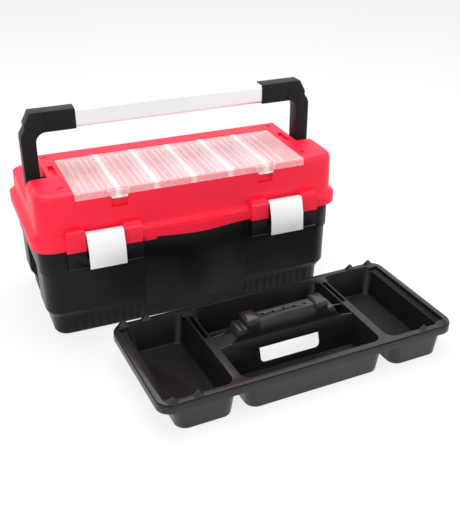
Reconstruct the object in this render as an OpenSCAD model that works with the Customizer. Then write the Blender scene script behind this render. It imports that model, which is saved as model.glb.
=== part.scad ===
// Hand-carry tool box: a hinged lid with a clear-covered organiser, a fold-down
// carrying handle, two steel latches and a lift-out tote tray beside it.
// Millimetres, +Z up. X runs along the box, the latches face -Y, and the origin
// lies on the floor under the middle of the tub.

/* [Tub] */
// Length of the tub over its top band
tub_l = 524; // [500:1:560]
// Depth of the tub over its top band, front to rear
tub_w = 248; // [240:1:270]
// Height of the tub's rim above the floor
tub_h = 170; // [162:1:190]
// Corner radius of the tub in plan
tub_r = 30; // [20:1:38]
// Wall of the tub
tub_wall = 3; // [2.4:0.1:3.6]
// Floor of the tub
tub_floor = 3.5; // [2.5:0.1:5]
// Height of the wide band under the rim
band_h = 47; // [44:1:54]
// Step in under the wide band
band_step = 2.5; // [2:0.5:5]
// Height of the fluted base band
base_h = 50; // [46:1:58]
// Step in above the base band at the tub's ends
base_step = 8.5; // [7:0.5:10]
// Step in above the base band at the tub's front and rear
base_step_front = 6.5; // [5:0.5:7]
// Height of the middle band's slanting underside
mid_under = 13; // [10:1:15]
// Lean of the middle band over its height
mid_lean = 1; // [0.5:0.5:3]
// Lean of the base band over its height
base_lean = 2; // [1:0.5:4]
// Rounding between the base band and the floor
base_round = 8; // [4:1:12]
// Half width of the recess between the columns at each end of the tub
recess_half = 47; // [40:1:55]
// How far that recess goes in from the middle band
recess_deep = 12; // [10:0.5:13]

/* [Flutes and bow] */
// Spacing of the upright flutes on the base band
flute_pitch = 13.5; // [11:0.5:18]
// Radius of a flute
flute_r = 4; // [3:0.5:5]
// How far a flute stands out of the base band
flute_proud = 1.8; // [1:0.1:2.5]
// Gap between the bowed middle of the front and the ears
bow_in = 4.5; // [3:0.5:14]
// How far the middle of the front bows out
bow_out = 11; // [8:0.5:12]
// How far the bowed panel dips over the base band
bow_dip = 16; // [14:1:22]
// How far the rest of the middle band dips over the base band
apron_dip = 12; // [8:1:13]

/* [Lid] */
// Overhang of the lid's lip past the tub's top band
lip_over = 9.5; // [9:0.5:12]
// Height of the lip's upright face
lip_h = 17; // [14:1:20]
// Height of the slope above the lip
lip_slope = 7; // [5:1:9]
// Height of the lid above the parting line
lid_h = 94; // [90:1:110]
// Step in from the lip to the lid's end walls
lip_step = 9; // [8:0.5:10]
// Step in from the lip to the lid's front and rear walls
lip_step_front = 7; // [6:0.5:8]
// Lean of the lid's walls over their height
lid_lean = 1.5; // [1:0.5:3]
// Wall of the lid
lid_wall = 2.8; // [2.2:0.1:3.4]
// Rounding along the lid's top edge
lid_round = 13; // [9:1:15]
// Gap between the lid and the tub when shut
part_gap = 0.3; // [0.2:0.1:0.6]

/* [Lid top] */
// Depth of the rear shelf and end pockets below the lid's top
shelf_d = 40; // [34:1:44]
// Length of the pocket at each end beside the raised middle block
block_in = 38; // [37.5:0.5:42]
// Depth of the rear shelf behind the raised block
shelf_w = 68.5; // [66:0.5:72]
// Space in front of the handle arm in its end pocket
pocket_front = 21; // [19:1:26]

/* [Organiser] */
// Distance from the tub's end to the organiser's clear cover
cover_in = 64; // [62:1:80]
// Width of the bar between the clear cover and the rear shelf
bar_w = 30; // [27:1:34]
// Thickness of the clear cover
cover_t = 2.7; // [2.2:0.1:3]
// Height of the cover's front skirt
skirt_h = 12; // [11:1:16]
// Thickness of the cover's front skirt
skirt_t = 3.4; // [3:0.1:4]
// Gap round the clear cover in its recess
cover_gap = 1.2; // [0.6:0.1:1.4]
// Depth of the organiser below the lid's top
well_d = 32; // [24:1:34]
// Number of cells in the organiser
cells = 6; // [6]
// Thickness of an organiser divider
divider_t = 1.6; // [1.2:0.1:2]
// Play of a divider in its guides
divider_play = 0.3; // [0.2:0.05:0.4]
// Radius of the cover's hinge pins
cover_pin_r = 1.3; // [1:0.1:1.4]
// Width of a cover clip
clip_w = 33; // [28:1:36]
// Distance from the clear cover's end to the middle of a clip
clip_in = 71; // [60:1:90]
// Radius of a clip's stub pins
clip_pin_r = 0.9; // [0.7:0.1:1]

/* [Handle] */
// Length of an elbow, from the arm's outer face to the bright grip
elbow_l = 91; // [84:1:105]
// Height of the grip above the lid's top
grip_up = 69; // [62:1:73]
// Depth of the grip and arms, front to rear
grip_d = 25; // [22:1:26]
// Height of the grip's section
grip_h = 34; // [32:1:36]
// Distance of the handle's arms in from the tub's ends
handle_in = 6; // [4:0.5:8]
// Width of an arm
arm_w = 24; // [22:1:27]
// Pivot of the handle, from the middle of the box towards the rear
pivot_y = -12; // [-14:1:-10]
// Pivot of the handle, below the lid's top
pivot_down = 20; // [19:1:21]
// Radius of a handle pivot pin
pivot_r = 4; // [3:0.5:5]

/* [Latches] */
// Distance from the tub's end to the middle of a latch
latch_in = 103.5; // [98:0.5:110]
// Width of a latch
latch_w = 60.5; // [54:0.5:62]
// Thickness of the latch's steel
latch_t = 1.6; // [1.2:0.1:2]
// Width of the ear between a latch and the middle
ear_in = 31; // [26:1:33]
// Width of the ear between a latch and the corner
ear_out = 32; // [26:1:33]
// How far the ears stand out past the lip
ear_proud = 8; // [7:0.5:9]
// Rounding of the ears' upper corners and the guards' lower corners
ear_round = 5; // [3:0.5:8]
// Height of the guards beside the latches
guard_h = 35; // [32:1:38]
// Height of a latch
latch_h = 59; // [56:1:62]
// Radius of a latch's pivot pin
latch_pin_r = 2; // [1.6:0.1:2.2]
// Side play of a latch between its ears
latch_play = 0.7; // [0.4:0.1:1]

/* [Hinge] */
// Distance from the tub's end to the middle of a lid hinge
hinge_in = 112; // [95:1:130]
// Length of one lid hinge
hinge_l = 90; // [80:1:110]
// Radius of a hinge knuckle
knuckle_r = 6.5; // [6:0.5:7]
// Radius of a hinge pin
hinge_pin_r = 2; // [1.5:0.1:2.5]

/* [Tote tray] */
// Play between the tray's rim and the tub, front and rear
tray_play = 6; // [5:0.5:7]
// Play between the tray's rim and the tub, each end
tray_play_end = 2.5; // [2:0.5:4]
// Height of the tray's rim above its feet
tray_h = 53; // [48:1:60]
// Depth of the tray's rim skirt
tray_skirt = 16; // [12:1:17]
// Width of the tray's rim
tray_rim = 11; // [9:1:13]
// Wall of the tray
tray_wall = 2.4; // [2:0.1:3]
// Lean of the tray's pockets over their height
tray_lean = 8; // [6:0.5:9]
// Length of the tray's end pockets, up to the middle of their dividers
tray_end = 128.5; // [120:0.5:136]
// Width of a tray divider over its top
tray_divider = 13; // [11:1:15]
// Length of the tray's finger gap
tray_grip_l = 112; // [100:1:120]
// Height of the top of the tray's grip above its feet
tray_grip_h = 84; // [78:1:90]
// Where the tray stands: along the box, from its middle
tray_x = 88; // [0:1:100]
// Where the tray stands: its middle in front of the tub's front
tray_out = 167; // [165:1:200]
// How far the tray is turned, in degrees
tray_turn = 2.9; // [0:0.1:5]

/* [Hidden] */

red = [1.0, 0.16, 0.29];
black = [0.11, 0.11, 0.12];
grey_black = [0.22, 0.21, 0.24];
clear = [0.95, 0.92, 0.95, 0.45];
bright = [0.9, 0.9, 0.91];
steel = [0.75, 0.75, 0.76];

round_fn = 64;     // exact arcs
hull_fn = 32;      // arcs inside hulls
over = 1;          // overshoot of a cut
run = 0.06;        // running play of a pin in its hole
seat = 0.02;       // play of a pin in the piece that holds it
safe = 0.4;        // gap between pieces that move past each other

// ---- derived: tub and lid
tub_hl = tub_l / 2;
tub_hw = tub_w / 2;
mid_top = tub_h - band_h;
lip_hl = tub_hl + lip_over;
lip_hw = tub_hw + lip_over;
lip_r = tub_r + 5;
lid_hl = lip_hl - lip_step;
lid_hw = lip_hw - lip_step_front;
lid_r = lip_r - 7.5;
lid_top = tub_h + lid_h;
lip_top = tub_h + lip_h;
slope_top = lip_top + lip_slope;
shelf_z = lid_top - shelf_d;
front = -lip_hw;

// ---- derived: hinge
hinge_y = lip_hw + 2;
hinge_z = tub_h - 3;
hinge_x = tub_hl - hinge_in;
knuckles = 5;
knuckle_gap = 0.4;
knuckle_l = hinge_l / knuckles;

// ---- derived: handle
pivot_z = lid_top - pivot_down;
arm_out = tub_hl - handle_in;
arm_in = arm_out - arm_w;
grip_hl = arm_out - elbow_l;
block_hl = lid_hl - block_in;
block_rear = lid_hw - shelf_w;
slot_x = block_hl - 13;
slot_y = pivot_y - 5;
slot_hl = 5;
slot_hw = 20;
slot_d = 6;
grip_z = lid_top + grip_up;
grip_top = grip_z + grip_h;
arm_y0 = pivot_y - grip_d / 2;
pocket_y = arm_y0 - pocket_front;
arm_foot = grip_d / 2 + 1;
elbow_round = 17;
elbow_slope = 18;
elbow_drop = 34;
spigot = 14;

// ---- derived: organiser
cover_hl = tub_hl - cover_in;
cover_rear = block_rear - bar_w;
cover_front = -lid_hw - 1.2;
recess_z = lid_top - cover_t - 0.3;
well_hl = cover_hl - 5;
well_front = cover_front + skirt_t + 5;
well_rear = cover_rear - 5.5;
well_z = lid_top - well_d;
cell_l = 2 * well_hl / cells;
cover_axis_y = cover_rear - cover_t;
cover_axis_z = lid_top - cover_t;
cover_pin_l = 9;
clip_axis_y = cover_front + skirt_t / 2;
clip_axis_z = lid_top - 3.2;
clip_drop = skirt_h + 3.5;
clip_lip = 3.5;
clip_x = cover_hl - clip_in;
thumb_h = 21;
thumb_d = 7;
thumb_w = 30;

// ---- derived: latches
ear_y = front - ear_proud;
ear_top = tub_h + 35;
latch_x = tub_hl - latch_in;
ear_gap = latch_w / 2 + latch_play;
ear_inner = latch_x - ear_gap - ear_in;
bow_half = ear_inner - bow_in;
latch_axis_y = front - 1;
latch_axis_z = ear_top - 9;
latch_roll = latch_pin_r + latch_t + 0.6;
latch_top = ear_top - 4;
latch_bend = latch_top - latch_h * 0.46;
latch_foot = latch_top - latch_h;
latch_bend_y = ear_y - 11;
latch_foot_y = latch_bend_y - 2;
guard_z = tub_h - guard_h;
keeper_z = latch_foot + 5;
bead = 2;
keeper_y = latch_foot_y + latch_t + bead + safe;

// ---- derived: tote tray
tray_hl = tub_hl - tub_wall - tray_play_end;
tray_hw = tub_hw - tub_wall - tray_play;
tray_r = tub_r - 8;
tray_over_end = 18.5;
pocket_hl = tray_hl - tray_over_end;
apron_hw = tray_hw - 1.2;
apron_lean = 1.2;
pocket_hw = tray_hw - tray_rim + 0.5;
tray_floor = 2.4;
pocket_r = 18;
mid_half = tray_hl - tray_end;
tray_y = -tub_hw - tray_out;
tray_rest = tub_h - part_gap - tray_skirt - 2;
tray_tip = tray_hl - 4.5;
spine_top = 15;
spine_foot = 34;
saddle_hw = 17;
saddle_up = 6;
saddle_thumb_r = 12;
shoulder = 14;
shoulder_out = 30;
spine_flare = 44;
tooth_in = 21;
tooth_pitch = 39;
groove_d = 30;
ledge_z = tray_h - 6.5;
ledge_hw = tray_hw - 17;
hole_pitch = 19;

// ======== shared shapes ========

// Rounded rectangle from its two half sizes and corner radius
module rounded(hl, hw, r, fn = round_fn) {
    square([2 * hl, 2 * (hw - r)], center = true);
    square([2 * (hl - r), 2 * hw], center = true);
    for (x = [-1, 1])
        for (y = [-1, 1])
            translate([x * (hl - r), y * (hw - r)])
                circle(r, $fn = fn);
}

// Convex drum with round corners; its profile lists [height, inset] from the
// bottom up, and all rings share the centres of their corners
module drum(hl, hw, r, profile) {
    last = len(profile) - 1;
    hull()
        for (x = [-1, 1])
            for (y = [-1, 1])
                translate([x * (hl - r), y * (hw - r), 0])
                    rotate_extrude($fn = hull_fn)
                        polygon(concat([[0, profile[0][0]]],
                                       [for (p = profile) [r - p[1], p[0]]],
                                       [[0, profile[last][0]]]));
}

// Upright slab with round corners
module slab(hl, hw, r, z0, z1) {
    translate([0, 0, z0])
        linear_extrude(z1 - z0)
            rounded(hl, hw, r);
}

// Front view of a tab whose upper corners (up = 1) or lower ones (up = 0) are round
module tab(x0, x1, z0, z1, r, up) {
    translate([x0, up > 0 ? z0 : z0 + r])
        square([x1 - x0, z1 - z0 - r]);
    translate([x0 + r, z0])
        square([x1 - x0 - 2 * r, z1 - z0]);
    for (x = [x0 + r, x1 - r])
        translate([x, up > 0 ? z1 - r : z0 + r])
            circle(r, $fn = round_fn);
}

// Box given by its two corners
module block(a, b) {
    translate(a)
        cube(b - a);
}

// Rod along X from x0 to x1
module rod(x0, x1, y, z, r) {
    translate([x0, y, z])
        rotate([0, 90, 0])
            cylinder(h = x1 - x0, r = r, $fn = round_fn);
}

// Profile in the YZ plane drawn out along X
module along_x(x0, x1) {
    translate([x0, 0, 0])
        rotate([90, 0, 90])
            linear_extrude(x1 - x0)
                children();
}

// Profile in the XZ plane drawn out along Y
module along_y(y0, y1) {
    translate([0, y1, 0])
        rotate([90, 0, 0])
            linear_extrude(y1 - y0)
                children();
}

// Plan of a smooth wave that stands out to the front of y
function wave(half, out, steps = 24) =
    [for (i = [0 : steps])
        let (x = -half + 2 * half * i / steps)
            [x, -out * (1 + cos(180 * x / half)) / 2]];

module wave_plan(half, out, back) {
    polygon(concat([[-half, back]], wave(half, out), [[half, back]]));
}

// ======== tub ========

mid_hl = tub_hl - band_step;
mid_hw = tub_hw - band_step;
base_hl = mid_hl - mid_lean - base_step;
base_hw = mid_hw - mid_lean - base_step_front;
foot_hl = base_hl - base_lean;
foot_hw = base_hw - base_lean;
recess_x = mid_hl - recess_deep;
mid_r = tub_r - 2;
base_r = tub_r - 4;

// Convex outer forms of the middle and base bands, grown inwards by t
module mid_band(t) {
    z0 = base_h + t * 0.7;
    drum(mid_hl - t, mid_hw - t, mid_r - t,
         [[z0 - mid_under, mid_lean + base_step], [z0, mid_lean], [mid_top, 0]]);
}

module base_band(t, z0, step) {
    drum(base_hl - t, base_hw - t, base_r - t,
         concat([for (a = [0 : step : 90])
                     [z0 + base_round * (1 - cos(a)), base_lean + base_round * (1 - sin(a))]],
                [[base_h, 0]]));
}

// Recess between the two columns at one end of the tub, grown by t all round
module end_recess(s, t) {
    along_y(-recess_half - t, recess_half + t)
        polygon([[s * (recess_x - t), -over], [s * (recess_x - t), mid_top - 10 + t],
                 [s * (tub_hl + over), mid_top - 3 + t], [s * (tub_hl + over), -over]]);
}

module tub_shell() {
    difference() {
        union() {
            slab(tub_hl, tub_hw, tub_r, mid_top, tub_h - part_gap);
            mid_band(0);
            base_band(0, 0, 22.5);
            bowed_front();
            flutes();
        }
        difference() {
            union() {
                slab(tub_hl - tub_wall, tub_hw - tub_wall, tub_r - tub_wall,
                     mid_top + tub_wall, tub_h + over);
                slab(mid_hl - tub_wall - 0.3, mid_hw - tub_wall - 0.3, mid_r - tub_wall - 0.3,
                     mid_top - over, mid_top + tub_wall + over);
                mid_band(tub_wall);
                base_band(tub_wall, tub_floor, 30);
                bowed_inside();
            }
            for (s = [-1, 1])
                end_recess(s, tub_wall);
        }
        for (s = [-1, 1])
            end_recess(s, 0);
    }
}

// The middle of the front bows out in the wide band and in the panel under it
module bowed_front() {
    translate([0, -tub_hw, mid_top])
        linear_extrude(band_h - part_gap)
            wave_plan(bow_half, bow_out, tub_wall / 2);
    translate([0, -mid_hw, base_h - bow_dip])
        linear_extrude(mid_top - base_h + bow_dip)
            wave_plan(bow_half, bow_out, mid_hw - base_hw + 4);
    along_y(-mid_hw + mid_lean + 0.3, -base_hw + 1.5)
        apron_outline();
}

// Hollow behind the bow, so that the tub's wall keeps its thickness
module bowed_inside() {
    translate([0, -tub_hw + tub_wall + 0.2, mid_top + tub_wall])
        linear_extrude(band_h)
            wave_plan(bow_half - 3, bow_out, tub_wall);
    translate([0, -mid_hw + tub_wall + 0.5, base_h - bow_dip + tub_wall])
        linear_extrude(mid_top - base_h + bow_dip + over)
            wave_plan(bow_half - 3, bow_out, mid_hw - base_hw + 5);
}

// Small shelves at the tub's ends that the tote tray's rim rests on
module tray_rests() {
    for (s = [-1, 1])
        for (y = [-1, 1])
            along_y(y * 64 - 15, y * 64 + 15)
                polygon([[s * (tub_hl - 1), tray_rest - 14], [s * (tub_hl - tub_wall - 0.5), tray_rest - 13],
                         [s * tray_tip, tray_rest - 3], [s * tray_tip, tray_rest], [s * (tub_hl - 1), tray_rest]]);
}

// Lower edge of the middle band across the front: one long shallow arc
module apron_outline() {
    half = base_hl - base_r - 4;
    arc_r = (half * half + apron_dip * apron_dip) / (2 * apron_dip);
    intersection() {
        translate([0, base_h + 0.5 - apron_dip + arc_r])
            circle(arc_r, $fn = round_fn * 8);
        translate([-half, base_h - apron_dip])
            square([2 * half, apron_dip + 3]);
    }
}

// Upright flutes on the front and rear of the base band
module flutes() {
    first = bow_half + flute_pitch / 2;
    count = floor((foot_hl - base_r - first) / flute_pitch);
    intersection() {
        union() {
            for (s = [-1, 1])
                for (i = [0 : count])
                    for (y = [-1, 1])
                        translate([s * (first + i * flute_pitch),
                                   y * (foot_hw - flute_r + flute_proud), 0])
                            cylinder(h = base_h + over, r = flute_r, $fn = round_fn);
        }
        block([-tub_l, -tub_w, base_round + 1], [tub_l, tub_w, base_h - mid_under / 2]);
    }
}

// Guards beside each latch, with the keeper rib that the latch snaps over
module latch_guards() {
    for (s = [-1, 1]) {
        for (e = [[-ear_gap - ear_in, -ear_gap], [ear_gap, ear_gap + ear_out]])
            let (x0 = s > 0 ? latch_x + e[0] : -latch_x - e[1],
                 x1 = s > 0 ? latch_x + e[1] : -latch_x - e[0])
                intersection() {
                    along_x(x0 - over, x1 + over)
                        polygon([[-tub_hw + 1, guard_z - 2], [-tub_hw - 6, guard_z], [ear_y + 3, guard_z + 2],
                                 [ear_y, guard_z + 6], [ear_y, tub_h + over], [-tub_hw + 1, tub_h + over]]);
                    along_y(ear_y - over, -tub_hw + 2)
                        tab(x0, x1, guard_z - 3, tub_h - part_gap, ear_round, 0);
                }
        along_x(s * latch_x - ear_gap - over, s * latch_x + ear_gap + over)
            polygon([[-tub_hw + 1, keeper_z - 4], [-tub_hw - 4, keeper_z - 4], [keeper_y, keeper_z + 2],
                     [keeper_y, keeper_z + 5], [keeper_y + 6, keeper_z + 9], [-tub_hw + 1, keeper_z + 9]]);
    }
}

// One hinge's knuckles; which = 0 for the tub's, 1 for the lid's
module knuckle_row(cx, which, bore) {
    for (k = [which : 2 : knuckles - 1])
        let (x0 = cx - hinge_l / 2 + k * knuckle_l + knuckle_gap / 2,
             x1 = cx - hinge_l / 2 + (k + 1) * knuckle_l - knuckle_gap / 2)
            difference() {
                union() {
                    rod(x0, x1, hinge_y, hinge_z, knuckle_r);
                    if (which == 0)
                        block([x0, tub_hw - tub_wall / 2, hinge_z - knuckle_r], [x1, hinge_y, hinge_z]);
                    else
                        block([x0, hinge_y - knuckle_r, hinge_z + 2], [x1, hinge_y, tub_h + lip_h * 0.7]);
                }
                rod(x0 - over, x1 + over, hinge_y, hinge_z, bore);
            }
}

module tub() {
    color(black) {
        tub_shell();
        tray_rests();
        latch_guards();
        for (s = [-1, 1])
            knuckle_row(s * hinge_x, 0, hinge_pin_r + seat);
    }
}

module hinge_pin(s) {
    color(steel)
        rod(s * hinge_x - hinge_l / 2, s * hinge_x + hinge_l / 2, hinge_y, hinge_z, hinge_pin_r);
}

// ======== lid ========

// Convex outer form of the lid above its lip, grown inwards by t
module lid_body(t, z0, step) {
    k = lid_round - t;
    drum(lid_hl - t, lid_hw - t, lid_r - t,
         concat([[z0, 0]],
                [for (a = [0 : step : 90])
                     [lid_top - t - k * (1 - sin(a)), lid_lean + k * (1 - cos(a))]]));
}

// Space that the folded handle lies in: the rear shelf and the two end pockets,
// grown by t all round
module shelf_space(t) {
    block([-lid_hl - over, block_rear - t, shelf_z - t], [lid_hl + over, lid_hw + over, lid_top + over]);
    for (s = [-1, 1])
        along_y(pocket_y - t, lid_hw)
            polygon([[s * (block_hl - t), lid_top + over], [s * (block_hl - t), shelf_z - t],
                     [s * (lid_hl + over), shelf_z - t], [s * (lid_hl + over), lid_top + over]]);
}

// Space of the organiser below its cover, grown by t all round
module well_space(t) {
    block([-well_hl - t, well_front - t, well_z - t], [well_hl + t, well_rear + t, lid_top + over]);
}

// Recess that the clear cover and its skirt lie in
module cover_space() {
    block([-cover_hl - cover_gap, cover_front - 10, recess_z],
          [cover_hl + cover_gap, cover_rear + cover_gap, lid_top + over]);
    block([-cover_hl - cover_gap, cover_front - 10, lid_top - skirt_h - cover_gap],
          [cover_hl + cover_gap, cover_front + skirt_t + cover_gap, lid_top + over]);
    rod(-cover_hl - cover_gap, cover_hl + cover_gap, cover_axis_y, cover_axis_z, cover_t + cover_gap);
}

// Thumb recess under each cover clip, grown by t
module thumb_space(t) {
    for (s = [-1, 1])
        translate([s * clip_x, 0, 0])
            along_y(-lid_hw - over - lip_step, -lid_hw + thumb_d + t)
                polygon([[-thumb_w / 2 - t, lid_top - skirt_h + 1], [thumb_w / 2 + t, lid_top - skirt_h + 1],
                         [thumb_w / 2 - 2 + t, lid_top - skirt_h - thumb_h - t],
                         [-thumb_w / 2 + 2 - t, lid_top - skirt_h - thumb_h - t]]);
}

// Lip round the lid with its bowed middle, the lens above it and a small tab
module lid_lip() {
    drum(lip_hl, lip_hw, lip_r,
         [[tub_h, 1.2], [tub_h + 1.2, 0], [lip_top, 0], [slope_top + 0.5, lip_step + 0.6]]);
    translate([0, front + 0.5, tub_h])
        linear_extrude(lip_h - 0.5)
            wave_plan(bow_half, bow_out, lip_step_front);
    lens(0, lip_top - 2);
    block([-bow_half, front + 0.3, tub_h - 5], [-bow_half + 21, front + lid_wall - 0.2, tub_h + 2]);
}

lens_out = lip_step_front + bow_out * 0.65;
lens_rise = 35;
lens_half = bow_half - 1;
lens_lean = atan(lens_out / lens_rise);
lens_r = lens_half * lens_half / (2 * lens_out * cos(lens_lean));

// Lens-shaped swelling above the bowed lip: a leaning round column that the
// lid's front cuts off along an arch, moved inwards by t and cut at z0
module lens(t, z0) {
    intersection() {
        translate([0, -lid_hw - lens_out + lens_r / cos(lens_lean) + t, lip_top])
            rotate([-lens_lean, 0, 0])
                translate([0, 0, -2 * lens_rise])
                    cylinder(h = 5 * lens_rise, r = lens_r, $fn = round_fn * 8);
        block([-lens_half - 5, -lid_hw - 2 * lens_out, z0],
              [lens_half + 5, -lid_hw + t + over, lip_top + lens_rise + 2]);
    }
}

// Hollow inside the lip, the bow and the lens, so that the walls keep their
// thickness; a wall stays behind each latch
module lip_inside() {
    difference() {
        slab(lip_hl - lid_wall, lip_hw - lid_wall, lip_r - lid_wall, tub_h - 2 * over, lip_top - lid_wall);
        for (s = [-1, 1])
            block([s * latch_x - ear_gap - 4, front, tub_h - 3 * over],
                  [s * latch_x + ear_gap + 4, -lid_hw + lid_wall + over, lip_top]);
    }
    translate([0, front + 0.5 + lid_wall, tub_h - 2 * over])
        linear_extrude(lip_h - lid_wall + 2 * over)
            wave_plan(bow_half - 3, bow_out, lip_step_front + 1);
    lens(lid_wall + 0.3, lip_top - lid_wall - 0.5);
}

// Ears that stand either side of each latch
module latch_ears() {
    for (s = [-1, 1])
        for (e = [[-ear_gap - ear_in, -ear_gap], [ear_gap, ear_gap + ear_out]])
            let (x0 = s > 0 ? latch_x + e[0] : -latch_x - e[1],
                 x1 = s > 0 ? latch_x + e[1] : -latch_x - e[0])
                intersection() {
                    along_x(x0 - over, x1 + over)
                        ear_profile();
                    along_y(ear_y - over, -lid_hw + 2)
                        tab(x0, x1, tub_h, ear_top, ear_round, 1);
                }
}

module ear_profile() {
    polygon([[-lid_hw + 1, tub_h - over], [ear_y, tub_h - over], [ear_y, ear_top - 9],
             [ear_y + 1, ear_top - 5], [ear_y + 5, ear_top - 0.5], [ear_y + 8, ear_top + over],
             [-lid_hw + 1, ear_top + over]]);
}

// Space between the ears that the latch swings in
module latch_bay() {
    for (s = [-1, 1])
        block([s * latch_x - ear_gap, front - bow_out - over, tub_h - over],
              [s * latch_x + ear_gap, -lid_hw - 0.5, slope_top + over]);
}

// Guides that hold the organiser's dividers at the well's front and rear walls
module divider_guides() {
    for (i = [1 : cells - 1])
        let (x = -well_hl + i * cell_l, half = divider_t / 2 + divider_play)
            for (y = [well_front, well_rear - 2.4])
                for (s = [-1, 1])
                    block([x + s * (half + 1) - 1, y - 0.5, well_z - 0.5],
                          [x + s * (half + 1) + 1, y + 2.9, recess_z - 2]);
}

// Bosses that hold the cover's hinge pins beside the recess
module cover_bosses() {
    for (s = [-1, 1])
        block([s > 0 ? cover_hl + cover_gap : -cover_hl - 11, cover_axis_y - 6, cover_axis_z - 6],
              [s > 0 ? cover_hl + 11 : -cover_hl - cover_gap, cover_axis_y + 6, lid_top - lid_wall / 2]);
}

// Bosses behind the block's end walls that hold the handle's pivot pins
module pivot_bosses() {
    for (s = [-1, 1])
        rod(s > 0 ? block_hl - 6 : -block_hl, s > 0 ? block_hl : -block_hl + 6, pivot_y, pivot_z, pivot_r + 5);
}

// Blind slots in the lid's top above the pivot pins' heads, grown by t
module pivot_slots(t) {
    for (s = [-1, 1])
        block([s * slot_x - slot_hl - t, slot_y - slot_hw - t, lid_top - slot_d - t],
              [s * slot_x + slot_hl + t, slot_y + slot_hw + t, lid_top + over]);
}

module lid() {
    color(red)
        difference() {
            union() {
                difference() {
                    union() {
                        lid_body(0, tub_h, 15);
                        lid_lip();
                    }
                    shelf_space(0);
                    well_space(0);
                    difference() {
                        lid_body(lid_wall, tub_h - over, 22.5);
                        shelf_space(lid_wall);
                        well_space(lid_wall);
                        thumb_space(lid_wall);
                        pivot_slots(lid_wall);
                        lid_core();
                    }
                    lip_inside();
                    latch_bay();
                    thumb_space(0);
                }
                latch_ears();
                divider_guides();
                pivot_bosses();
                cover_bosses();
                for (s = [-1, 1])
                    knuckle_row(s * hinge_x, 1, hinge_pin_r + run);
            }
            cover_space();
            pivot_slots(0);
            lid_cuts();
        }
}

// Solid kept under the cover's recess, so that its ledge has a wall
module lid_core() {
    block([-cover_hl - 3, cover_front - over, lid_top - skirt_h - 3],
          [cover_hl + 3, cover_front + skirt_t + 3, lid_top]);
    block([-cover_hl - 3, cover_rear - 4, recess_z - 3], [cover_hl + 3, cover_rear + 3, lid_top]);
    for (s = [-1, 1])
        block([s * cover_hl - 6, cover_front, recess_z - 3], [s * cover_hl + 6, cover_rear + 3, lid_top]);
}

module lid_cuts() {
    for (s = [-1, 1]) {
        rod(s * (block_hl - 4) - 12, s * (block_hl - 4) + 12, pivot_y, pivot_z, pivot_r + seat);
        rod(s * latch_x - ear_gap - 7, s * latch_x + ear_gap + 7, latch_axis_y, latch_axis_z,
            latch_pin_r + seat);
        rod(s * cover_hl - 9, s * cover_hl + 9, cover_axis_y, cover_axis_z, cover_pin_r + seat);
        for (k = [0 : 2 : knuckles - 1])
            let (x0 = s * hinge_x - hinge_l / 2 + k * knuckle_l)
                rod(x0 - 0.1, x0 + knuckle_l + 0.1, hinge_y, hinge_z, knuckle_r + safe);
    }
}

// ======== organiser ========

module organiser_divider(i) {
    x = -well_hl + i * cell_l;
    color(clear)
        block([x - divider_t / 2, well_front + 0.3, well_z + 0.1],
              [x + divider_t / 2, well_rear - 0.3, recess_z - 3]);
}

module organiser_cover() {
    color(clear)
        difference() {
            union() {
                along_x(-cover_hl, cover_hl)
                    cover_profile();
                cover_ribs();
            }
            for (s = [-1, 1]) {
                clip_notch(s);
                rod(s * cover_hl - 9, s * cover_hl + 9, cover_axis_y, cover_axis_z, cover_pin_r + run);
            }
        }
}

// Section of the cover: plate, rounded rear edge about the hinge, front skirt
module cover_profile() {
    translate([cover_axis_y, cover_axis_z])
        circle(cover_t, $fn = round_fn);
    translate([cover_front + cover_t, lid_top - cover_t])
        square([cover_axis_y - cover_front - cover_t, cover_t]);
    intersection() {
        translate([cover_front + cover_t, lid_top - cover_t])
            circle(cover_t, $fn = round_fn);
        translate([cover_front - over, lid_top - cover_t])
            square([cover_t + over, cover_t + over]);
    }
    translate([cover_front, lid_top - skirt_h])
        square([skirt_t, skirt_h - cover_t]);
}

// Pairs of thin ribs under the plate that keep small parts in their cells
module cover_ribs() {
    for (i = [1 : cells - 1])
        let (x = -well_hl + i * cell_l)
            for (s = [-1, 1])
                block([x + s * (divider_t + 1.2) - 0.6, well_front + 6, recess_z - 1.6],
                      [x + s * (divider_t + 1.2) + 0.6, well_rear - 8, lid_top - cover_t / 2]);
}

module clip_notch(s) {
    translate([s * clip_x, 0, 0]) {
        block([-clip_w / 2 - safe, cover_front - over, lid_top - skirt_h - over],
              [clip_w / 2 + safe, cover_front + skirt_t + safe, lid_top + over]);
        rod(-clip_w / 2 - 3, clip_w / 2 + 3, clip_axis_y, clip_axis_z, clip_pin_r + run);
    }
}

module cover_pin(s) {
    color(steel)
        rod(s > 0 ? cover_hl - 8 : -cover_hl - 8, s > 0 ? cover_hl + 8 : -cover_hl + 8,
            cover_axis_y, cover_axis_z, cover_pin_r);
}

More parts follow.
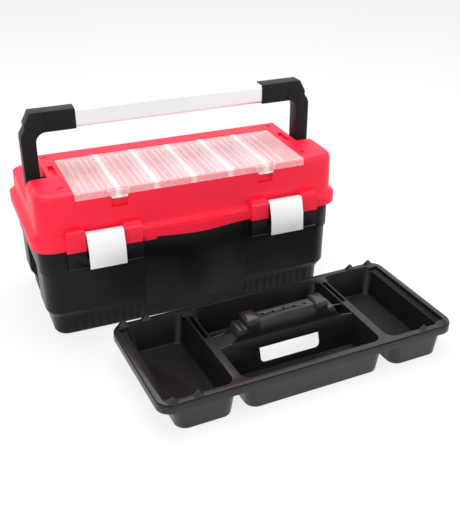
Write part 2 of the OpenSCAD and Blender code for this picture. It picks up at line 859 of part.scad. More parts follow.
module cover_clip(s) {
    lever = clip_axis_z - (lid_top - clip_drop);
    color(clear)
        translate([s * clip_x, 0, 0])
            difference() {
                union() {
                    rod(-clip_w / 2 - 2.6, clip_w / 2 + 2.6, clip_axis_y, clip_axis_z, clip_pin_r);
                    rod(-clip_w / 2, clip_w / 2, clip_axis_y, clip_axis_z, skirt_t / 2);
                    along_y(clip_axis_y - skirt_t / 2, clip_axis_y + skirt_t / 2 - 1)
                        polygon([[-clip_w / 2, clip_axis_z], [-clip_w / 2, clip_axis_z - lever * 0.55],
                                 [-clip_w / 2 + 4, clip_axis_z - lever], [clip_w / 2 - 4, clip_axis_z - lever],
                                 [clip_w / 2, clip_axis_z - lever * 0.55], [clip_w / 2, clip_axis_z]]);
                    block([-clip_w / 2 + 4, clip_axis_y - skirt_t / 2 - clip_lip, clip_axis_z - lever],
                          [clip_w / 2 - 4, clip_axis_y - skirt_t / 2 + 0.5, clip_axis_z - lever + 2]);
                }
                block([-clip_w / 4, clip_axis_y - skirt_t, clip_axis_z - lever + 4],
                      [-clip_w / 4 + 6, clip_axis_y - skirt_t / 2 + 1.2, clip_axis_z - 3]);
            }
}

// ======== handle ========

module handle_grip() {
    color(bright)
        difference() {
            along_x(-grip_hl - spigot, grip_hl + spigot)
                grip_profile(0);
            along_x(-grip_hl - spigot - over, grip_hl + spigot + over)
                grip_profile(2);
        }
}

// Section of the grip: flat front and rear, rounded over the top, grown inwards by t
module grip_profile(t) {
    d = grip_d - 2 - 2 * t;
    h = grip_h - 2 - 2 * t;
    r = 5;
    translate([pivot_y - d / 2, grip_z + 1 + t]) {
        translate([0, r])
            square([d, h - 2 * r]);
        translate([r, 0])
            square([d - 2 * r, h]);
        for (y = [r, d - r])
            for (z = [r, h - r])
                translate([y, z])
                    circle(r, $fn = round_fn);
    }
}

// Front view of the right elbow and arm
module arm_outline() {
    inner = arm_in;
    difference() {
        polygon([[grip_hl, grip_z], [grip_hl, grip_top], [arm_out - elbow_slope, grip_top],
                 [arm_out - 7.5, grip_top - elbow_drop * 0.58], [arm_out - 8.2, grip_top - elbow_drop * 0.75],
                 [arm_out - 1, grip_top - elbow_drop - 3], [arm_out, grip_top - elbow_drop - 8],
                 [arm_out, pivot_z], [inner, pivot_z],
                 [inner, grip_z - elbow_round], [inner - elbow_round, grip_z]]);
        translate([inner - elbow_round, grip_z - elbow_round])
            circle(elbow_round, $fn = round_fn);
    }
}

module arm_right() {
    difference() {
        union() {
            along_y(arm_y0, arm_y0 + grip_d)
                arm_outline();
            rod(arm_in, arm_out, pivot_y, pivot_z, arm_foot);
            rod(block_hl + safe, arm_in + over, pivot_y, pivot_z, pivot_r + 5);
        }
        along_x(grip_hl - over, grip_hl + spigot + seat)
            grip_profile(-seat);
        rod(block_hl, arm_out - 6, pivot_y, pivot_z, pivot_r + run);
        block([arm_in - elbow_round - 1.4, arm_y0 - over, grip_z - over],
              [arm_in - elbow_round - 0.6, arm_y0 + 0.8, grip_top + over]);
    }
}

module handle_arm(s) {
    color(black)
        if (s > 0)
            arm_right();
        else
            mirror([1, 0, 0])
                arm_right();
}

module handle_pivot(s) {
    inner = block_hl - 6;
    color(steel)
        mirror([s < 0 ? 1 : 0, 0, 0]) {
            rod(inner - 2, arm_out - 7, pivot_y, pivot_z, pivot_r);
            rod(inner - 3.5, inner - 0.3, pivot_y, pivot_z, pivot_r + 2.5);
        }
}

// ======== latches ========

// Section of a latch: a sheet rolled round its pin, bent, with a hem at the foot
module latch_profile() {
    difference() {
        union() {
            translate([latch_axis_y, latch_axis_z])
                circle(latch_roll, $fn = round_fn);
            polygon([[latch_axis_y, latch_axis_z + latch_roll],
                     [ear_y - 1, latch_top], [ear_y - 4, latch_top - 5],
                     [latch_bend_y, latch_bend], [latch_foot_y, latch_foot + 2],
                     [latch_foot_y + 1, latch_foot], [latch_foot_y + latch_t, latch_foot],
                     [latch_foot_y + latch_t + bead, latch_foot + 1],
                     [latch_foot_y + latch_t + bead, latch_foot + 3.5],
                     [latch_foot_y + latch_t, latch_foot + 5],
                     [latch_bend_y + latch_t, latch_bend],
                     [ear_y - 4 + latch_t, latch_top - 5 - latch_t * 0.5],
                     [ear_y - 1, latch_top - latch_t], [latch_axis_y, latch_axis_z + latch_roll - latch_t]]);
        }
        translate([latch_axis_y, latch_axis_z])
            circle(latch_pin_r + run, $fn = round_fn);
    }
}

module latch(s) {
    color(bright)
        along_x(s * latch_x - latch_w / 2, s * latch_x + latch_w / 2)
            latch_profile();
}

module latch_pin(s) {
    color(steel)
        rod(s * latch_x - ear_gap - 6, s * latch_x + ear_gap + 6, latch_axis_y, latch_axis_z, latch_pin_r);
}

// ======== tote tray ========

// Upright tapering form from xa to xb at the rim; its foot is smaller by lean_x
// at each end and by lean_y at the front and rear
module tray_form(xa, xb, hw, r, z0, top, lean_x, lean_y) {
    hull()
        for (y = [-1, 1])
            for (e = [[xa + r, 1], [xb - r, -1]]) {
                translate([e[0], y * (hw - r), top - 1])
                    cylinder(h = 1, r = r, $fn = hull_fn);
                translate([e[0] + e[1] * lean_x, y * (hw - r - lean_y), z0])
                    cylinder(h = 2, r1 = r - 2, r2 = r, $fn = hull_fn);
            }
}

// Outside and inside of one pocket; the outside is an apron nearly flush with the rim
module pocket_outside(xa, xb) {
    tray_form(xa, xb, apron_hw, pocket_r, 0, tray_h - 2, tray_lean, apron_lean);
}

module pocket_inside(xa, xb) {
    tray_form(xa + tray_wall, xb - tray_wall, pocket_hw, pocket_r - tray_wall, tray_floor,
              tray_h + over, tray_lean, tray_lean + 2);
}

// Hollow between the apron and the leaning wall of a pocket, open underneath
module apron_hollow(x0, x1) {
    for (s = [-1, 1])
        along_x(x0, x1)
            polygon([[s * (apron_hw - apron_lean - tray_wall), -over], [s * (apron_hw - tray_wall), ledge_z - tray_wall],
                     [s * (pocket_hw + tray_wall), ledge_z - tray_wall],
                     [s * (pocket_hw + tray_wall - tray_lean - 2), -over]]);
}

side_x0 = mid_half + tray_divider / 2 - tray_wall;
mid_x1 = mid_half - tray_divider / 2 + tray_wall;

module tray_rim_form() {
    difference() {
        union() {
            slab(tray_hl, tray_hw, tray_r, tray_h - tray_skirt, tray_h - 3);
            slab(tray_hl - 1.5, tray_hw - 1.5, tray_r - 1.5, tray_h - 3 - over, tray_h);
        }
        slab(tray_hl - tray_wall, tray_hw - tray_wall, tray_r - tray_wall,
             tray_h - tray_skirt - over, ledge_z - tray_wall);
    }
}

// Trough with a floor that closes the rear half of the gap over each divider
module divider_trough() {
    for (s = [-1, 1])
        along_y(15, 91)
            polygon([[s * mid_half - 10, tray_h - groove_d - tray_wall],
                     [s * mid_half + 10, tray_h - groove_d - tray_wall],
                     [s * mid_half + 5.3, tray_h - 2.5], [s * mid_half - 5.3, tray_h - 2.5]]);
}

// Ledge with two low ridges inside the rim at each end
module end_ledge(s) {
    along_y(-ledge_hw, ledge_hw)
        polygon([[s * (pocket_hl - 12), ledge_z], [s * (pocket_hl - 0.6), ledge_z],
                 [s * (pocket_hl - 0.6), ledge_z + 1.2], [s * (pocket_hl + 0.6), ledge_z + 1.2],
                 [s * (pocket_hl + 0.6), ledge_z], [s * (tray_hl - 12.2), ledge_z],
                 [s * (tray_hl - 12.2), ledge_z + 1.2], [s * (tray_hl - 11), ledge_z + 1.2],
                 [s * (tray_hl - 11), ledge_z], [s * (tray_hl - 10), ledge_z],
                 [s * (tray_hl - 10), tray_h + over], [s * (pocket_hl - 12), tray_h + over]]);
}

// The spine that carries the tray's grip, seen from the end
module spine_profile(t) {
    polygon([[-spine_foot + t, 0 - over * sign(t)], [-spine_foot + 8 + t, tray_h * 0.5],
             [-spine_top - 2 + t, tray_h], [-spine_top + t, tray_grip_h - 8 - t],
             [-spine_top + 5 + t / 2, tray_grip_h - t], [spine_top - 5 - t / 2, tray_grip_h - t],
             [spine_top - t, tray_grip_h - 8 - t], [spine_top + 2 - t, tray_h],
             [spine_foot - 8 - t, tray_h * 0.5], [spine_foot - t, 0 - over * sign(t)]]);
}

// Front view of the spine: level grip, shoulders with a thumb hollow, flared feet
module spine_outline() {
    g = tray_grip_l / 2;
    m = mid_x1;
    difference() {
        polygon([[-m, 0], [-m, tray_h - 2], [-g - spine_flare, tray_h + 1], [-g - shoulder_out - 4, tray_h + 10],
                 [-g - shoulder_out, tray_h + 20], [-g - shoulder, tray_grip_h - 3], [-g - 2, tray_grip_h + 4],
                 [-g + 4, tray_grip_h + 1], [g - 4, tray_grip_h + 1], [g + 2, tray_grip_h + 4],
                 [g + shoulder, tray_grip_h - 3], [g + shoulder_out, tray_h + 20],
                 [g + shoulder_out + 4, tray_h + 10], [g + spine_flare, tray_h + 1], [m, tray_h - 2], [m, 0]]);
        for (s = [-1, 1])
            translate([s * (g + 21), tray_grip_h - 3])
                circle(8, $fn = round_fn);
    }
}

// Raised saddle at one end of the grip, with the hollow that a thumb rests in
module saddle(s) {
    g = tray_grip_l / 2;
    top = tray_grip_h + saddle_up;
    intersection() {
        along_x(-mid_x1, mid_x1)
            polygon([[-spine_top - 1, tray_h + 1], [-saddle_hw, tray_h + 12], [-saddle_hw, top - 9],
                     [-saddle_hw + 2.5, top - 3], [-saddle_hw + 8, top], [saddle_hw - 8, top],
                     [saddle_hw - 2.5, top - 3], [saddle_hw, top - 9], [saddle_hw, tray_h + 12],
                     [spine_top + 1, tray_h + 1]]);
        along_y(-tray_hw, tray_hw)
            difference() {
                polygon([[s * (g - 3), tray_h + 1], [s * (g - 6), top - 5], [s * (g - 3), top - 1],
                         [s * (g + 2), top + over], [s * (g + 13), top + over], [s * (g + 33), tray_h + 13],
                         [s * (g + 31), tray_h + 1]]);
                translate([s * (g + 28), top - 12])
                    circle(saddle_thumb_r, $fn = round_fn);
            }
    }
}

module tray_spine() {
    g = tray_grip_l / 2;
    for (s = [-1, 1])
        saddle(s);
    difference() {
        intersection() {
            along_x(-mid_x1, mid_x1)
                spine_profile(0);
            along_y(-tray_hw, tray_hw)
                spine_outline();
        }
        intersection() {
            along_x(-mid_x1 - over, mid_x1 + over)
                spine_profile(tray_wall);
            block([-mid_x1 - over, -tray_hw, -2 * over], [mid_x1 + over, tray_hw, tray_h + 10]);
        }
        along_y(-tray_hw, tray_hw)
            finger_gap();
        for (i = [-2 : 2])
            translate([i * hole_pitch, 0, tray_grip_h - 10])
                cylinder(h = 20, r = 2.4, $fn = round_fn);
    }
}

// Finger gap right through the spine, below its grip
module finger_gap() {
    g = tray_grip_l / 2 - 2;
    low = 12;
    high = 37;
    r = 8;
    translate([-g + r, low])
        square([2 * (g - r), high - low]);
    translate([-g, low + r])
        square([2 * g, high - low - r]);
    for (s = [-1, 1])
        translate([s * (g - r), low + r])
            circle(r, $fn = round_fn);
}

// Pyramid that keeps a second tray from sliding on this one
module tray_tooth() {
    linear_extrude(9, scale = [0.18, 0.3])
        square([17, 8], center = true);
}

module tray_body() {
    difference() {
        union() {
            tray_rim_form();
            for (s = [-1, 1])
                pocket_outside(s > 0 ? side_x0 : -pocket_hl, s > 0 ? pocket_hl : -side_x0);
            pocket_outside(-mid_x1, mid_x1);
            divider_trough();
        }
        for (s = [-1, 1]) {
            pocket_inside(s > 0 ? side_x0 : -pocket_hl, s > 0 ? pocket_hl : -side_x0);
            apron_hollow(s > 0 ? side_x0 + 22 : -pocket_hl + 22, s > 0 ? pocket_hl - 22 : -side_x0 - 22);
            block([s * mid_half - tray_divider / 2 + tray_wall + 0.2, -tray_hw + tray_rim, tray_h - groove_d],
                  [s * mid_half + tray_divider / 2 - tray_wall - 0.2, 12, tray_h - 3]);
            block([s * mid_half - tray_divider / 2 + tray_wall + 0.2, 18, tray_h - groove_d],
                  [s * mid_half + tray_divider / 2 - tray_wall - 0.2, 88, tray_h + over]);
            end_ledge(s);
        }
        pocket_inside(-mid_x1, mid_x1);
        apron_hollow(-mid_x1 + 22, mid_x1 - 22);
        along_x(-mid_x1 + tray_wall, mid_x1 - tray_wall)
            polygon([[-spine_foot + 1, -over], [-spine_foot + 1, tray_floor + over],
                     [spine_foot - 1, tray_floor + over], [spine_foot - 1, -over]]);
    }
}

module tote_tray() {
    color(grey_black)
        translate([tray_x, tray_y, 0])
            rotate([0, 0, tray_turn]) {
                tray_body();
                tray_spine();
                for (sx = [-1, 1])
                    for (x = [tray_hl - tooth_in, tray_hl - tooth_in - tooth_pitch])
                        for (sy = [-1, 1])
                            translate([sx * x, sy * (tray_hw - 5.7), tray_h - 0.5])
                                tray_tooth();
                for (s = [-1, 1])
                    block([s * mid_half - 10.5, 89, tray_h - 3.4], [s * mid_half + 10.5, tray_hw - 5, tray_h - 0.4]);
            }
}

tub();
lid();
hinge_pin(-1);  // hinge_pin_left
hinge_pin(1);  // hinge_pin_right
organiser_divider(1);  // organiser_divider_1
organiser_divider(2);  // organiser_divider_2
organiser_divider(3);  // organiser_divider_3
organiser_divider(4);  // organiser_divider_4
organiser_divider(5);  // organiser_divider_5
organiser_cover();
cover_pin(-1);  // cover_pin_left
cover_pin(1);  // cover_pin_right
cover_clip(-1);  // cover_clip_left
cover_clip(1);  // cover_clip_right
handle_grip();
handle_arm(-1);  // handle_arm_left
handle_arm(1);  // handle_arm_right
handle_pivot(-1);  // handle_pivot_left
handle_pivot(1);  // handle_pivot_right
latch(-1);  // latch_left
latch(1);  // latch_right
latch_pin(-1);  // latch_pin_left
latch_pin(1);  // latch_pin_right
tote_tray();
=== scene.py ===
"""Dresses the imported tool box: bevelled mouldings, clear organiser, bright metal, studio."""

import logging
import math
from dataclasses import dataclass
from enum import Enum
from typing import Optional, Sequence, Union

import bmesh
import bpy
from mathutils import Matrix, Vector
from mathutils.bvhtree import BVHTree


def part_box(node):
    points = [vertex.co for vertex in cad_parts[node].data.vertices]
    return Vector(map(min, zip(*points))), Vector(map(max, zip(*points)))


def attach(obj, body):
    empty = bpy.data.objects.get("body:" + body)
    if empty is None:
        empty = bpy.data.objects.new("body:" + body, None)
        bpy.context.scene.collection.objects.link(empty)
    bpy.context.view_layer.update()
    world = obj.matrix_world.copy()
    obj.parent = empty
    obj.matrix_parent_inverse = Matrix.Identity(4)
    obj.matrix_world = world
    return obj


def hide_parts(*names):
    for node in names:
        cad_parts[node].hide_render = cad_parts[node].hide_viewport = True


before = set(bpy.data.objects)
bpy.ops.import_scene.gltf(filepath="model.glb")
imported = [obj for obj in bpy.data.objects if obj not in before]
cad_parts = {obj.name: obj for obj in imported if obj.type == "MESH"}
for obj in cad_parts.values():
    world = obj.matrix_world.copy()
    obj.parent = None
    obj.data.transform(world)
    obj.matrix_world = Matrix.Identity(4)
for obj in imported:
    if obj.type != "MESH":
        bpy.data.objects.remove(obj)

LOG = logging.getLogger("tool_box")
MM = 0.001
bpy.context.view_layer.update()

Colour = tuple[float, float, float]
Number = Union[float, "Value"]


# ---------------------------------------------------------------- shader maths


class Graph:
    """Builds the node tree of one material or world."""

    def __init__(self, owner: Union[bpy.types.Material, bpy.types.World]) -> None:
        """Empties the owner's node tree.

        Args:
            owner: the material or world.
        """
        owner.use_nodes = True
        self.owner = owner
        self.tree = owner.node_tree
        self.tree.nodes.clear()
        self._place: Optional[bpy.types.NodeSocket] = None

    @classmethod
    def of_material(cls, name: str) -> "Graph":
        """Starts a new material.

        Args:
            name: the material's name.

        Returns:
            The graph of the new material.
        """
        return cls(bpy.data.materials.new(name))

    def node(self, kind: str, settings: Optional[dict] = None, **values: object) -> bpy.types.Node:
        """Adds a node, sets it up, then fills or links its sockets.

        Args:
            kind: the node's type.
            settings: attributes set before the sockets; "stops" fills a colour ramp.
            values: socket values or links, by socket name with _ for a space.

        Returns:
            The new node.
        """
        made = self.tree.nodes.new(kind)
        for key, value in (settings or {}).items():
            if key == "stops":
                ramp = made.color_ramp
                while len(ramp.elements) > 1:
                    ramp.elements.remove(ramp.elements[-1])
                for index, (at, colour) in enumerate(value):
                    element = ramp.elements[0] if index == 0 else ramp.elements.new(at)
                    element.position = at
                    element.color = (*colour, 1.0)
            else:
                setattr(made, key, value)
        for key, value in values.items():
            self.plug(made.inputs[key.replace("_", " ")], value)
        return made

    def plug(self, socket: bpy.types.NodeSocket, value: object) -> None:
        """Links a value or output to a socket, or sets the socket's own value.

        Args:
            socket: the input socket.
            value: a Value, an output socket, a colour or a number.
        """
        if isinstance(value, Value):
            self.tree.links.new(value.socket, socket)
        elif isinstance(value, bpy.types.NodeSocket):
            self.tree.links.new(value, socket)
        elif isinstance(value, tuple) and len(value) == 3 and len(socket.default_value) == 4:
            socket.default_value = (*value, 1.0)
        else:
            socket.default_value = value

    def place(self) -> bpy.types.NodeSocket:
        """Object coordinates, in metres.

        Returns:
            The socket that every pattern of the graph reads.
        """
        if self._place is None:
            self._place = self.node("ShaderNodeTexCoord").outputs["Object"]
        return self._place

    def axes(self) -> tuple["Value", "Value", "Value"]:
        """Splits the object coordinates.

        Returns:
            The three coordinates as values.
        """
        split = self.node("ShaderNodeSeparateXYZ", Vector=self.place())
        return tuple(Value(self, split.outputs[i]) for i in range(3))

    def stretched(self, scale: Colour) -> bpy.types.NodeSocket:
        """Scales the object coordinates along each axis.

        Args:
            scale: the three scales.

        Returns:
            The scaled coordinates.
        """
        return self.node("ShaderNodeMapping", Vector=self.place(), Scale=scale).outputs["Vector"]

    def noise(self, scale: float, detail: float = 3.0, rough: float = 0.55,
              at: Optional[bpy.types.NodeSocket] = None) -> "Value":
        """Noise between 0 and 1.

        Args:
            scale: features per metre.
            detail: octaves.
            rough: strength of the finer octaves.
            at: the coordinates, or None for object coordinates.

        Returns:
            The noise as a value.
        """
        made = self.node("ShaderNodeTexNoise", Vector=at or self.place(), Scale=scale,
                         Detail=detail, Roughness=rough)
        return Value(self, made.outputs["Fac"])

    def mix(self, factor: Number, low: object, high: object) -> bpy.types.NodeSocket:
        """Mixes two colours.

        Args:
            factor: the share of the second colour.
            low: the first colour.
            high: the second colour.

        Returns:
            The mixed colour's socket.
        """
        made = self.node("ShaderNodeMix", {"data_type": "RGBA"})
        self.plug(made.inputs[0], factor)
        self.plug(made.inputs[6], low)
        self.plug(made.inputs[7], high)
        return made.outputs[2]

    def bump(self, height: "Value", distance: float) -> bpy.types.NodeSocket:
        """Turns a height into a normal.

        Args:
            height: the height, 0 to 1.
            distance: what a height of 1 stands for, in metres.

        Returns:
            The normal socket.
        """
        made = self.node("ShaderNodeBump", Height=height, Distance=distance, Strength=1.0)
        return made.outputs["Normal"]

    def surface(self, **values: object) -> bpy.types.Material:
        """Ends the material with one Principled surface.

        Args:
            values: the surface's socket values, by name with _ for a space.

        Returns:
            The finished material.
        """
        shader = self.node("ShaderNodeBsdfPrincipled", **values)
        self.node("ShaderNodeOutputMaterial", Surface=shader.outputs["BSDF"])
        return self.owner


class Value:
    """A number in a shader that adds its Math nodes when it is used in an expression."""

    def __init__(self, graph: Graph, socket: bpy.types.NodeSocket) -> None:
        """Wraps an output socket.

        Args:
            graph: the graph that the socket belongs to.
            socket: the output socket.
        """
        self.graph = graph
        self.socket = socket

    def maths(self, operation: str, *values: object, clamp: bool = False) -> "Value":
        """Adds one Math node.

        Args:
            operation: the node's operation.
            values: its inputs.
            clamp: whether the result is kept from 0 to 1.

        Returns:
            The result.
        """
        made = self.graph.node("ShaderNodeMath", {"operation": operation, "use_clamp": clamp})
        for socket, value in zip(made.inputs, values):
            self.graph.plug(socket, value)
        return Value(self.graph, made.outputs[0])

    def __add__(self, other: Number) -> "Value":
        """Sum."""
        return self.maths("ADD", self, other)

    __radd__ = __add__

    def __mul__(self, other: Number) -> "Value":
        """Product."""
        return self.maths("MULTIPLY", self, other)

    def __sub__(self, other: Number) -> "Value":
        """Difference."""
        return self.maths("SUBTRACT", self, other)

    def absolute(self) -> "Value":
        """Absolute value."""
        return self.maths("ABSOLUTE", self)

    def ping_pong(self, reach: float) -> "Value":
        """Distance to the nearest even multiple of reach.

        Args:
            reach: the greatest distance that comes back.

        Returns:
            The distance, from 0 to reach.
        """
        return self.maths("PINGPONG", self, reach)

    def step(self, low: float, high: float) -> "Value":
        """Smooth step between two bounds.

        Args:
            low: where the step is 0.
            high: where the step is 1.

        Returns:
            The step.
        """
        made = self.graph.node("ShaderNodeMapRange", {"interpolation_type": "SMOOTHSTEP"})
        for index, value in enumerate((self, low, high, 0.0, 1.0)):
            self.graph.plug(made.inputs[index], value)
        return Value(self.graph, made.outputs[0])


# ---------------------------------------------------------------- finishes


@dataclass(frozen=True)
class MouldedPlastic:
    """Injection-moulded plastic: fine grain, uneven gloss, soft colour."""

    name: str
    colour: Colour
    worn: Colour
    roughness: float = 0.42
    spread: float = 0.10
    shine: float = 0.5
    grain: float = 0.12 * MM
    grain_scale: float = 1500.0
    broad_scale: float = 7.0
    smudge_scale: float = 60.0
    wear_range: tuple[float, float] = (0.35, 0.75)

    def material(self) -> bpy.types.Material:
        """Builds the material.

        Returns:
            The material.
        """
        graph = Graph.of_material(self.name)
        broad = graph.noise(self.broad_scale, 2.0)
        fine = graph.noise(self.grain_scale, 2.0, 0.6)
        smudge = graph.noise(self.smudge_scale, 5.0, 0.7)
        wear = (broad * 0.5 + smudge * 0.5).step(*self.wear_range)
        tint = graph.mix(wear, self.colour, self.worn)
        rough = self.roughness + (smudge - 0.5) * self.spread + (broad - 0.5) * self.spread
        normal = graph.bump(fine, self.grain)
        return graph.surface(Base_Color=tint, Roughness=rough, Normal=normal,
                             Specular_IOR_Level=self.shine)


@dataclass(frozen=True)
class ClearPlastic:
    """Clear moulded plastic with drawn-out streaks and a haze from scratches."""

    name: str
    colour: Colour
    alpha: float
    haze: float
    streaks: Colour = (210.0, 6.0, 40.0)
    roughness: float = 0.16
    band: float = 0.0
    band_pitch: float = 64.3 * MM
    band_half: float = 8.0 * MM
    band_reach: float = 180.0 * MM
    cloud_scale: float = 16.0
    streak_depth: float = 0.2 * MM
    streak_rough: float = 0.06
    index: float = 1.49

    def material(self) -> bpy.types.Material:
        """Builds the material; light caught at each divider shows as a pale band over it.

        Returns:
            The material.
        """
        graph = Graph.of_material(self.name)
        streak = graph.noise(1.0, 4.0, 0.7, graph.stretched(self.streaks))
        cloud = graph.noise(self.cloud_scale, 3.0)
        alpha = self.alpha + (streak - 0.5) * self.haze + (cloud - 0.5) * (self.haze * 0.5)
        if self.band:
            across = graph.axes()[0]
            near = across.ping_pong(self.band_pitch / 2.0).step(self.band_half, 0.0)
            ends = across.absolute().step(self.band_reach, self.band_reach - self.band_half)
            alpha = alpha + near * ends * self.band
        rough = self.roughness + streak * self.streak_rough
        return graph.surface(Base_Color=self.colour, Roughness=rough, Alpha=alpha, IOR=self.index,
                             Normal=graph.bump(streak, self.streak_depth))


@dataclass(frozen=True)
class BrushedMetal:
    """Metal with fine lines along one axis."""

    name: str
    colour: Colour
    grain: Colour
    roughness: float
    metal: float = 1.0
    depth: float = 0.04 * MM
    cloud_scale: float = 24.0
    dullest: float = 0.86
    line_tint: float = 0.35
    cloud_tint: float = 0.25
    line_rough: float = 0.14
    cloud_rough: float = 0.06

    def material(self) -> bpy.types.Material:
        """Builds the material.

        Returns:
            The material.
        """
        graph = Graph.of_material(self.name)
        line = graph.noise(1.0, 3.0, 0.65, graph.stretched(self.grain))
        cloud = graph.noise(self.cloud_scale, 3.0)
        dull = tuple(self.dullest * c for c in self.colour)
        tint = graph.mix(line * self.line_tint + cloud * self.cloud_tint, self.colour, dull)
        rough = self.roughness + (line - 0.5) * self.line_rough + (cloud - 0.5) * self.cloud_rough
        return graph.surface(Base_Color=tint, Metallic=self.metal, Roughness=rough,
                             Normal=graph.bump(line, self.depth))


class Finish(Enum):
    """The finishes of the box's pieces; each value ends in its material slot's name."""

    RED = "red_plastic"
    LENS = "lens.red_plastic"
    MARK_SHADE = "sunk.red_plastic"
    BLACK = "black_plastic"
    ELBOW = "elbow.black_plastic"
    TRAY = "tray_plastic"
    INNER = "inner.tray_plastic"
    CLEAR = "clear_plastic"
    SKIRT = "skirt.clear_plastic"
    RIB = "rib.clear_plastic"
    EDGE = "edge.clear_plastic"
    FROSTED = "frosted.clear_plastic"
    GRIP = "aluminium_grip"
    LATCH = "bright_steel"
    PIN = "steel_pin"

    @property
    def slot(self) -> str:
        """The material slot.

        Returns:
            The slot's name.
        """
        return self.value.split(".")[-1]


RECIPES: dict[Finish, Union[MouldedPlastic, ClearPlastic, BrushedMetal]] = {
    Finish.RED: MouldedPlastic(
        "red moulding", (0.95, 0.012, 0.046), (1.0, 0.017, 0.058), 0.40, shine=0.26),
    # Painted highlight: the swelling's base colour is paler than the lid's red, standing in for the
    # overhead light it catches; its roughness and shine also differ.
    Finish.LENS: MouldedPlastic(
        "red moulding painted pale as highlight", (0.98, 0.045, 0.085), (1.0, 0.055, 0.100), 0.34, shine=0.40),
    # Painted shade: the marks are thin sheets on the lid's top, darkened to stand in for the shade
    # inside recessed marks.
    Finish.MARK_SHADE: MouldedPlastic(
        "mark painted dark as shade", (0.40, 0.003, 0.016), (0.48, 0.005, 0.022), 0.55, shine=0.15),
    Finish.BLACK: MouldedPlastic(
        "black moulding", (0.0035, 0.0035, 0.0042), (0.0060, 0.0060, 0.0070), 0.34, shine=0.17),
    Finish.ELBOW: MouldedPlastic(
        "elbow moulding", (0.0075, 0.0070, 0.0090), (0.0120, 0.0110, 0.0140), 0.44, shine=0.16),
    Finish.TRAY: MouldedPlastic(
        "tray moulding", (0.0085, 0.0080, 0.0110), (0.0140, 0.0130, 0.0175), 0.34, shine=0.42),
    # Painted shade: the pockets' faces get a darker copy of the tray's colour, standing in for the shade
    # inside them, and less shine.
    Finish.INNER: MouldedPlastic(
        "tray's inner faces, painted shade", (0.0060, 0.0055, 0.0070), (0.0095, 0.0085, 0.0110), 0.36, shine=0.18),
    Finish.CLEAR: ClearPlastic("clear moulding", (0.99, 0.96, 0.98), 0.27, 0.16, band=0.40),
    Finish.SKIRT: ClearPlastic("clear skirt", (0.98, 0.93, 0.97), 0.15, 0.12),
    Finish.RIB: ClearPlastic("cover rib", (1.0, 0.98, 1.0), 0.62, 0.30, roughness=0.3),
    Finish.EDGE: ClearPlastic("light-catching edge", (1.0, 0.99, 1.0), 0.92, 0.10, roughness=0.3),
    Finish.FROSTED: ClearPlastic(
        "frosted divider", (1.0, 0.98, 1.0), 0.95, 0.08, streaks=(30.0, 30.0, 160.0), roughness=0.4),
    Finish.GRIP: BrushedMetal("anodised grip", (0.88, 0.88, 0.89), (9.0, 900.0, 900.0), 0.36),
    Finish.LATCH: BrushedMetal(
        "plated latch", (0.95, 0.95, 0.96), (700.0, 12.0, 12.0), 0.50, metal=0.15),
    Finish.PIN: BrushedMetal("drawn pin", (0.60, 0.60, 0.62), (12.0, 700.0, 700.0), 0.30),
}


class Paint:
    """Makes each finish once and puts it on pieces."""

    _made: dict[Finish, bpy.types.Material] = {}

    @classmethod
    def get(cls, finish: Finish) -> bpy.types.Material:
        """Finds a finish's material, and makes it on first use.

        Args:
            finish: the finish.

        Returns:
            Its material.
        """
        if finish not in cls._made:
            cls._made[finish] = RECIPES[finish].material()
        return cls._made[finish]

    @classmethod
    def on(cls, piece: bpy.types.Object, finish: Finish) -> None:
        """Gives a CAD piece one finish all over.

        Args:
            piece: the piece.
            finish: its finish.
        """
        piece.data.materials.clear()
        piece.data.materials.append(cls.get(finish))


# ---------------------------------------------------------------- mesh helpers


